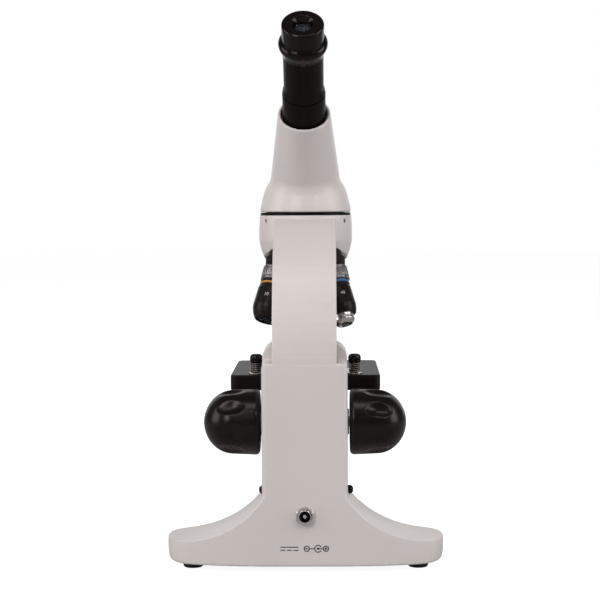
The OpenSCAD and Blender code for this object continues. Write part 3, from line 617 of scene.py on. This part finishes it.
def build_objectives():
    seat = 70.45
    shapes = {
        "objective_low": (0, 6, RED, (81.0, 82.2), [
            (8.6, 79.9), (9.2, 79.9), (9.2, 80.9), (9.0, 81.0), (9.0, 82.2), (9.2, 82.3),
            (9.2, 83.6),
            (10, 84.8), (10, 88.4), (8.9, 89.6), (8.4, 90.2), (7.9, 92)]),
        "objective_mid": (-PLACE, 5.5, YELLOW, (81.4, 82.7), [
            (8.6, 79.9), (9.2, 79.9), (9.2, 81.3), (9.05, 81.4), (9.05, 82.7), (9.25, 82.8),
            (9.3, 84.0),
            (9.7, 85.0), (10.2, 96.2), (9.9, 98.4), (9.1, 100.8), (7.9, 103.2), (7.2, 104.2)]),
        "objective_high": (PLACE, 6.66, BLUE, (80.3, 82.0), [
            (8.6, 79.9), (8.9, 79.9), (8.9, 80.2), (8.75, 80.3), (8.75, 82.0), (8.9, 82.1),
            (8.9, 82.4),
            (8.35, 82.6), (8.35, 83.8), (8.9, 84.2), (9.5, 95.8), (9.2, 98.2), (8.6, 100.2),
            (8.2, 101)]),
    }
    for node, (place, bore, band, span, outside) in shapes.items():
        spot = objective_frame(place)
        end = outside[-1][1]
        loop = [(bore, seat), (8.6, seat)] + outside + [(bore, end)]
        radii = [0.1, 0.1] + [0.35] * len(outside) + [0.2]
        piece = lathe(node + "_barrel", [fillet(loop, radii, 4)], spot, 96)
        settle(piece, [GREY, band, SATIN], [node])
        paint_bands(piece, spot, [(span[0], span[1], 8.4, 1), (seat, 79.8, 0, 2)])
    engrave(
        "mark_mid", objective_frame(-PLACE) @ turn(-42, "Z"), "10", 9.95, 90.6, 2.9, MARK, "turret")
    engrave(
        "mark_high", objective_frame(PLACE) @ turn(42, "Z"), "40", 9.25, 89.6, 2.9, MARK, "turret")
    engrave("mark_low", objective_frame(0) @ turn(180, "Z"), "4", 9.98, 86.6, 2.6, MARK, "turret")

    teeth = 48
    low, high = 70.85, 79.8

    def knurl(angle, radius, height):
        if radius < 9.4 or height > high - 2.2 or height < low + 1.6:
            return radius
        return radius - tooth(angle, teeth, 0.22)

    for place, name in ((-PLACE, "collar_mid"), (0, "collar_low"), (PLACE, "collar_high")):
        loop = fillet([
            (8.62, low), (9.2, low), (9.6, low + 0.4), (9.6, low + 1.3), (9.4, low + 1.5),
            (9.6, low + 1.7), (9.6, high - 2.3), (9.4, high - 2.1), (9.6, high - 1.9),
            (9.6, high - 0.6),
            (9.1, high), (8.62, high)],
            [0, 0.2, 0.2, 0.1, 0, 0.1, 0.1, 0, 0.1, 0.3, 0.2, 0], 3)
        collar = lathe(name, [loop], objective_frame(place), teeth * 6, knurl)
        settle(collar, [COLLAR], ["objective_collars"])

    spot = objective_frame(PLACE)
    loop = fillet([
        (4, 92), (6.6, 92), (6.6, 102.4), (6.35, 102.6), (6.35, 103.1), (6.6, 103.3), (6.6, 104.6),
        (5.9, 105.6), (4.7, 107), (4.2, 107), (4.2, 106.2), (4, 106.2)], 0.3, 3)
    settle(lathe("high_nose_sleeve", [loop], spot), [NICKEL], ["objective_high_nose"])


# ---------------------------------------------------------------- focus knobs

def build_knobs():
    lo, hi = mm_box("focus_knob_right")
    inner, length, radius = lo.x, hi.x - lo.x, (hi.y - lo.y) / 2
    dishes, dish_middle = 8, 16.5
    long_half, wide_half, depth = 8.4, 4.9, 1.8
    rows, columns = 60, 192

    def outline(t):
        """Radius and distance along the knob for t from the rim, 0, to the end, 1."""
        rim, barrel, taper = 2.5, 15.5, 0.6
        if t < 0.1:
            a = math.pi / 2 * (t / 0.1)
            return radius - rim + rim * math.sin(a), rim - rim * math.cos(a)
        if t < 0.4:
            return radius - taper * (t - 0.1) / 0.3, rim + (barrel - rim) * (t - 0.1) / 0.3
        a = math.pi / 2 * (t - 0.4) / 0.6
        return (radius - taper) * math.cos(a), barrel + (length - barrel) * math.sin(a)

    def dished(angle, r, along, phase):
        sunk = 0.0
        for k in range(dishes):
            middle = math.radians(360 / dishes * k + phase)
            off = (angle - middle + math.pi) % (2 * math.pi) - math.pi
            u = math.hypot((along - dish_middle) / long_half, r * off / wide_half)
            if u < 1:
                sunk = max(sunk, depth * (1 - u * u) ** 1.3)
        return r - sunk

    for side, node, phase in ((1, "focus_knob_right", 29), (-1, "focus_knob_left", 34)):
        place = shift(0, KNOB_MIDDLE.y, KNOB_MIDDLE.z)
        points, faces, rings = [], [], []
        profile = [(3.1, 22.0), (3.1, 0.0), (5.5, 0.0), (6.0, 1.6), (12.5, 1.6), (13.2, 0.0)]
        profile = [(r, a) for r, a in fillet(profile, 0.3, 2, closed=False)]
        profile += [outline(k / rows) for k in range(rows)]
        for r, along in profile:
            ring = []
            for k in range(columns):
                angle = 2 * math.pi * k / columns
                shown = dished(angle, r, along, phase) if r > 4 and along > 3 else r
                spot = Vector(
                    (side * (inner + along), shown * math.sin(angle), shown * math.cos(angle)))
                ring.append(len(points))
                points.append(place @ spot)
            rings.append(ring)
        for a, b in zip(rings, rings[1:]):
            for k in range(columns):
                n = (k + 1) % columns
                faces.append([a[k], a[n], b[n], b[k]])
        faces.append(rings[0])
        tip = len(points)
        points.append(place @ Vector((side * (inner + length), 0, 0)))
        last = rings[-1]
        faces += [[last[k], last[(k + 1) % columns], tip] for k in range(columns)]
        settle(mesh_object(node + "_grip", points, faces, 50), [KNOB], [node])


def build_bushes():
    end = mm_box("shaft_bushes")[1].x - 0.05
    for side, name in ((1, "bush_right"), (-1, "bush_left")):
        place = shift(0, KNOB_MIDDLE.y, KNOB_MIDDLE.z) @ turn(side * 90, "Y")
        loop = fillet([
            (3.06, 19.5), (4.98, 19.5), (4.98, 24.82), (7.6, 24.82), (7.6, end), (3.06, end)],
            [0.2, 0.2, 0, 0.1, 0.3, 0.2], 3)
        settle(lathe(name, [loop], place, 72), [STEEL], ["shaft_bushes"])


# ---------------------------------------------------------------- stage and clips

def build_stage():
    settle(soft_copy("stage_table", "stage_plate", 0.55, 3, 0.4), [STAGE], ["stage_plate"])
    settle(soft_copy("stage_arm_bracket", "stage_bracket", 0.5, 3, 0.4), [STAGE], ["stage_bracket"])
    radius, low, edge, crown = 9.9, 101.5, 106, 2.6
    glass = [(0, low), (radius, low), (radius, edge)] + dome(radius, edge, crown, 8)
    settle(lathe("condenser_glass", [glass], UPRIGHT, 72), [LENS], ["condenser_lens"])


def coil(name, place, radius, wire, low, high, turns, nodes):
    """Round spring wire with closed, flat end turns."""
    around, sides = 28, 10
    steps = int(around * turns)
    points, faces = [], []
    for i in range(steps + 1):
        angle = 2 * math.pi * i / around
        t = i / steps
        ease = min(1.0, max(0.0, (t * turns - 0.6) / (turns - 1.2)))
        z = low + wire + (high - low - 2 * wire) * ease
        out = Vector((math.cos(angle), math.sin(angle), 0))
        for j in range(sides):
            b = 2 * math.pi * j / sides
            spot = out * (radius + wire * math.cos(b)) + Vector((0, 0, z + wire * math.sin(b)))
            points.append(place @ spot)
    for i in range(steps):
        for j in range(sides):
            n = (j + 1) % sides
            a, b = i * sides, (i + 1) * sides
            faces.append([a + j, b + j, b + n, a + n])
    faces.append(list(range(sides)))
    faces.append([steps * sides + j for j in reversed(range(sides))])
    return settle(mesh_object(name, points, faces, 60), [SPRING], nodes)


def build_clips():
    stage_top = 110.2
    for side, word in ((-1, "left"), (1, "right")):
        post = "clip_post_" + word
        middle = mm_middle(post)
        place = shift(middle.x, middle.y, 0)
        top = mm_box(post)[1].z
        neck = 117.3
        loop = fillet([
            (0, 101), (3.2, 101), (3.2, 102.6), (2, 102.6), (2, neck), (3.5, neck),
            (3.9, neck + 0.5),
            (3.9, neck + 1.5), (3.7, neck + 1.7), (3.9, neck + 1.9), (3.9, top - 2.0),
            (3.4, top - 0.7),
            (2.2, top), (0, top)],
            [0, 0.3, 0.2, 0.1, 0.1, 0.2, 0.3, 0.1, 0, 0.1, 1.2, 1.2, 1.2, 0], 5)
        settle(lathe(post + "_stud", [loop], place, 64), [GLOSS], [post])

        foot = stage_top + 1.0
        spring = coil(
            "clip_coil_" + word, place, radius=3.2, wire=0.46, low=foot, high=neck - 0.05,
            turns=5.6, nodes=["clip_spring_" + word])
        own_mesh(spring)

        heading = 108 if side > 0 else 72
        way = turn(heading, "Z")
        eye = arc((0, 0), 4.6, 55, 305, 28)
        reach = 42
        strip = [(2.6, -3.5), (reach - 9, -2.6), (reach - 4, -3.4), (reach, -3.3), (reach, 3.3),
                 (reach - 4, 3.4), (reach - 9, 2.6), (2.6, 3.5)]
        outline = fillet(strip, [0, 3, 1.5, 1.2, 1.2, 1.5, 3, 0], 5) + eye[1:-1]
        low = stage_top + 0.15

        def lifted(q, reach=reach):
            """The strip bows up a little between its eye and its tip, and its end turns up."""
            start, bow, tip, rise = 5, 0.35, 0.86, 1.0
            t = max(0.0, q.x - start) / (reach - start)
            upturn = rise * ((t - tip) / (1 - tip)) ** 2 if t > tip else 0
            return bow * math.sin(math.pi * min(1.0, t)) + upturn

        blade = blade_with_eye("clip_strip_" + word, outline, low, low + 0.7, place @ way, lifted)
        settle(blade, [NICKEL], ["clip_blade_" + word])


def blade_with_eye(name, outline, low, high, place, bend):
    """A thin strip cut into short bays so that it can bow, with a hole round its post."""
    hole = arc((0, 0), 2.1, 0, 360, 32)[:-1]
    work = bmesh.new()
    rims = [[work.verts.new((x, y, 0)) for x, y in path] for path in (outline, hole)]
    edges = []
    for rim in rims:
        edges += [work.edges.new((rim[i], rim[(i + 1) % len(rim)])) for i in range(len(rim))]
    bmesh.ops.triangle_fill(work, use_beauty=True, use_dissolve=False, edges=edges)
    for x in range(6, 42, 2):
        bmesh.ops.bisect_plane(
            work, geom=work.verts[:] + work.edges[:] + work.faces[:], plane_co=(x, 0, 0),
            plane_no=(1, 0, 0))
    bmesh.ops.remove_doubles(work, verts=work.verts, dist=0.01)
    grown = bmesh.ops.extrude_face_region(work, geom=work.faces[:])
    upper = {v for v in grown["geom"] if isinstance(v, bmesh.types.BMVert)}
    for v in work.verts:
        v.co.z = high if v in upper else low
    bmesh.ops.recalc_face_normals(work, faces=work.faces)
    rim_edges = [e for e in work.edges if e.is_manifold and e.calc_face_angle(0) > 0.9]
    bmesh.ops.bevel(
        work, geom=rim_edges, offset=0.16, segments=2, profile=0.6, affect="EDGES",
        clamp_overlap=True)
    for v in work.verts:
        v.co.z += bend(v.co)
        v.co = place @ v.co * MM
    data = bpy.data.meshes.new(name)
    work.to_mesh(data)
    work.free()
    tidy_mesh(data, 40)
    piece = new_object(name, data)
    return piece


# ---------------------------------------------------------------- inlet, lamp, controls, feet

def build_inlet():
    middle = mm_middle("dc_inlet_nut")
    place = shift(middle.x, REAR_Y, middle.z) @ turn(90, "X")

    pitch, cut, root = 0.75, 0.12, 3.9

    def thread(angle, radius, height):
        if radius < root:
            return radius
        return radius - cut * (0.5 + 0.5 * math.sin(height * 2 * math.pi / pitch + angle))

    steps = 28
    barrel = [(3.2, -9.4), (3.95, -9.4)]
    barrel += [(3.95, -9.4 + 12.5 * k / steps) for k in range(1, steps)]
    barrel += [(3.95, 3.1), (3.7, 3.4), (3.3, 3.4), (3.2, 3.2), (3.2, -7)]
    settle(lathe("inlet_barrel", [barrel], place, 72, thread), [CHROME, MATTE], ["dc_inlet_barrel"])

    half_across, bore = 5.1, 4.5

    def hexagon(angle, radius, height):
        if radius < bore:
            return radius
        flat = half_across / math.cos((angle + math.pi / 6) % (math.pi / 3) - math.pi / 6)
        return min(radius, flat)

    low, high = 0.1, 2.5
    loop = fillet([
        (4.0, low), (5.6, low), (5.9, low + 0.3), (5.9, high - 0.55), (5.25, high), (4.3, high),
        (4.0, high - 0.3)], [0.1, 0.1, 0.1, 0.2, 0.2, 0.1, 0.1], 3)
    nut = lathe("inlet_nut", [loop], place, 144, hexagon)
    settle(nut, [CHROME], ["dc_inlet_nut"])

    loop = [(0, -8), (1.05, -8), (1.05, 2.0)] + arc((0.65, 2.0), 0.4, 0, 90, 4)[1:] + [(0, 2.4)]
    settle(lathe("inlet_pin", [loop], place, 40), [CHROME], ["dc_inlet_pin"])

    loop = [(1.3, -6.5), (3.18, -6.5), (3.18, -5.2), (1.3, -5.2)]
    plug = lathe("inlet_insulator", [loop], place, 48)
    plug.data.materials.append(MATTE)
    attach(plug, "stand")


def build_polarity_mark():
    """General signs printed under the inlet: direct current, and a centre-positive plug."""
    middle = mm_middle("dc_inlet_nut")
    drop = 19.0
    z = middle.z - drop
    line, high, deep = 0.28, REAR_Y - 0.04, REAR_Y + 0.35
    strokes = [[(-14, z + 0.9), (-4, z + 0.9)]]
    strokes += [[(-14 + 3.75 * k, z - 0.9), (-11.5 + 3.75 * k, z - 0.9)] for k in range(3)]
    strokes += [[(2.5, z), (5.5, z)], [(7.5, z), (10.5, z)]]
    strokes += [arc((7.5, z), 2.0, 35, 325, 20), arc((7.5, z), 0.4, 0, 360, 12)]
    strokes += [arc((1, z), 1.5, 0, 360, 20), [(0.2, z), (1.8, z)]]
    strokes += [arc((12, z), 1.5, 0, 360, 20), [(11.2, z), (12.8, z)], [(12, z - 0.8), (12, z + 0.8)]]
    points, faces = [], []
    for stroke in strokes:
        for a, b in zip(stroke, stroke[1:]):
            way = (Vector(b) - Vector(a)).normalized() * line
            side = Vector((-way.y, way.x))
            first = len(points)
            for y in (deep, high):
                for end, sign in ((a, -1), (b, 1)):
                    for across in (-sign, sign):
                        spot = Vector(end) + way * sign * 0.5 + side * across
                        points.append((spot.x, y, spot.y))
            faces += [[first + c for c in face] for face in (
                (0, 1, 2, 3), (4, 5, 6, 7), (0, 1, 5, 4), (1, 2, 6, 5), (2, 3, 7, 6), (3, 0, 4, 7))]
    mark = mesh_object("polarity_mark", points, faces)
    mark.data.materials.append(INK)
    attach(mark, "stand")


def build_lamp():
    lo, hi = mm_box("lamp_collar")
    low, high = lo.z, hi.z
    ribs = 40

    def ribbed(angle, radius, height):
        if radius < 20 or height < low + 6.5 or height > high - 4:
            return radius
        return radius - tooth(angle, ribs, 0.4)

    loop = [(17.2, low), (23.7, low), (24.0, low + 0.4), (24.0, low + 2.4), (23.2, low + 3.6)]
    loop += [(21.6, low + 5.2), (21.4, low + 6.6)]
    loop += [(21.4 - 0.9 * k / 8, low + 6.7 + (high - low - 11) * k / 8) for k in range(9)]
    loop += [(20.3, high - 1.4), (19.6, high - 0.4), (18.8, high), (17.6, high), (17.2, high - 0.4)]
    settle(lathe("lamp_housing", [loop], UPRIGHT, ribs * 6, ribbed), [GLOSS], ["lamp_collar"])
    top = mm_box("lamp_lens")[1].z
    radius, low, edge = 16.9, 43, 47
    glass = [(0, low), (radius, low), (radius, edge)] + dome(radius, edge, top - edge, 10)
    settle(lathe("lamp_glass", [glass], UPRIGHT, 96), [FROSTED], ["lamp_lens"])


def build_controls():
    wheel = mm_middle("dimmer_wheel")
    place = shift(wheel.x, wheel.y, wheel.z)
    teeth = 24

    def ribbed(angle, radius, height):
        if radius < 7.4:
            return radius
        return radius - tooth(angle, teeth, 0.45)

    half = 2.2
    loop = fillet([(1.56, -half), (8, -half), (8, half), (1.56, half)], [0.2, 1.7, 1.7, 0.2], 6)
    settle(lathe("dimmer_thumbwheel", [loop], place, teeth * 8, ribbed), [GLOSS], ["dimmer_wheel"])

    lo, hi = mm_box("switch_button")
    middle = (lo + hi) / 2
    place = shift(0, middle.y, middle.z) @ turn(90, "Y")
    crown = hi.x
    loop = fillet([
        (0, lo.x), (2.6, lo.x), (2.6, crown - 1.6), (2.0, crown - 0.5), (1.0, crown), (0, crown)],
        [0, 0.2, 1.2, 0.8, 0.8, 0], 6)
    settle(lathe("power_button", [loop], place, 56), [GLOSS], ["switch_button"])


def build_feet():
    lo, hi = mm_box("rubber_feet")
    radius, front_x = 6, 20.0
    rear = (hi.x - radius, lo.y + radius)
    front = (front_x, hi.y - radius)
    number = 0
    for x, y in (rear, front):
        for side in (-1, 1):
            number += 1
            loop = fillet([
                (0, 0), (3.2, 0), (3.4, 0.5), (4.2, 0.5), (4.4, 0), (5.4, 0), (radius, 1.2),
                (radius, hi.z), (0, hi.z)], [0, 0.2, 0.1, 0.1, 0.2, 0.5, 0.6, 0.1, 0], 3)
            foot = lathe("foot_%d" % number, [loop], shift(side * x, y, 0), 56)
            settle(foot, [RUBBER], ["rubber_feet"])


build_castings()
build_eyepiece()
build_turret()
build_objectives()
build_knobs()
build_bushes()
build_stage()
build_clips()
build_inlet()
build_polarity_mark()
build_lamp()
build_controls()
build_feet()


# ---------------------------------------------------------------- floor, light and camera

def build_floor():
    """A flat pale floor, which the camera sees nearly white."""
    made = bpy.data.materials.new("pale_floor")
    made.use_nodes = True
    shader = made.node_tree.nodes["Principled BSDF"]
    shader.inputs["Base Color"].default_value = (0.42, 0.42, 0.42, 1)
    shader.inputs["Roughness"].default_value = 0.9
    shader.inputs["Emission Color"].default_value = (1, 1, 1, 1)
    path = made.node_tree.nodes.new("ShaderNodeLightPath")
    level = spread(made.node_tree, path.outputs["Is Camera Ray"], 0.04, 0.93, 0, 1)
    link(made.node_tree, level, shader.inputs["Emission Strength"])
    half, drop = 6.0, 0.0002
    corners = [(-half, -half, 0), (half, -half, 0), (half, half, 0), (-half, half, 0)]
    data = bpy.data.meshes.new("floor")
    data.from_pydata(corners, [], [(0, 1, 2, 3)])
    floor = new_object("floor", data)
    data.materials.append(made)
    floor.location.z = -drop


def area_light(name, place, target, size, power):
    light = bpy.data.lights.new(name, "AREA")
    light.shape = "RECTANGLE"
    light.size, light.size_y = size
    light.energy = power
    lamp = new_object(name, light)
    lamp.location = place
    lamp.rotation_euler = (Vector(target) - Vector(place)).to_track_quat("-Z", "Y").to_euler()


def build_light():
    scene = bpy.context.scene
    world = bpy.data.worlds.new("studio")
    scene.world = world
    world.use_nodes = True
    tree = world.node_tree
    background = tree.nodes["Background"]
    background.inputs["Color"].default_value = (1, 1, 1, 1)
    path = tree.nodes.new("ShaderNodeLightPath")
    ambient, seen = 0.12, 1.0
    level = tree.nodes.new("ShaderNodeMapRange")
    level.inputs["To Min"].default_value = ambient
    level.inputs["To Max"].default_value = seen
    link(tree, path.outputs["Is Camera Ray"], level.inputs["Value"])
    link(tree, level.outputs["Result"], background.inputs["Strength"])
    area_light("key", (-0.62, -1.2, 0.86), (0, 0, 0.16), (0.4, 1.0), 7.8)
    area_light("top", (0, -0.75, 1.6), (0, 0, 0.2), (0.8, 0.5), 4.2)
    area_light("fill", (0.95, -1.2, 1.1), (0, 0, 0.14), (0.5, 0.5), 4.0)
    area_light("side_left", (-1.3, -0.35, 0.55), (0, 0, 0.16), (0.7, 0.9), 6.4)
    area_light("side_right", (1.3, -0.35, 0.55), (0, 0, 0.16), (0.7, 0.9), 7.2)
    area_light("backdrop", (0, 1.7, 0.75), (0, 0, 0.45), (3.2, 1.5), 12)
    scene.view_settings.view_transform = "Standard"


def build_camera():
    data = bpy.data.cameras.new("camera")
    camera = new_object("camera", data)
    data.sensor_width = 36
    data.lens = 95.0
    data.clip_start, data.clip_end = 0.05, 50
    distance, side, height = 0.900, 0.01265, 0.212
    camera.location = (side, REAR_Y * MM - distance, height)
    yaw, pitch, roll = 0.947, 3.44, -0.277
    camera.rotation_euler = (
        turn(yaw, "Z") @ turn(90 - pitch, "X") @ turn(roll, "Z")).to_euler()
    bpy.context.scene.camera = camera


build_floor()
build_light()
build_camera()
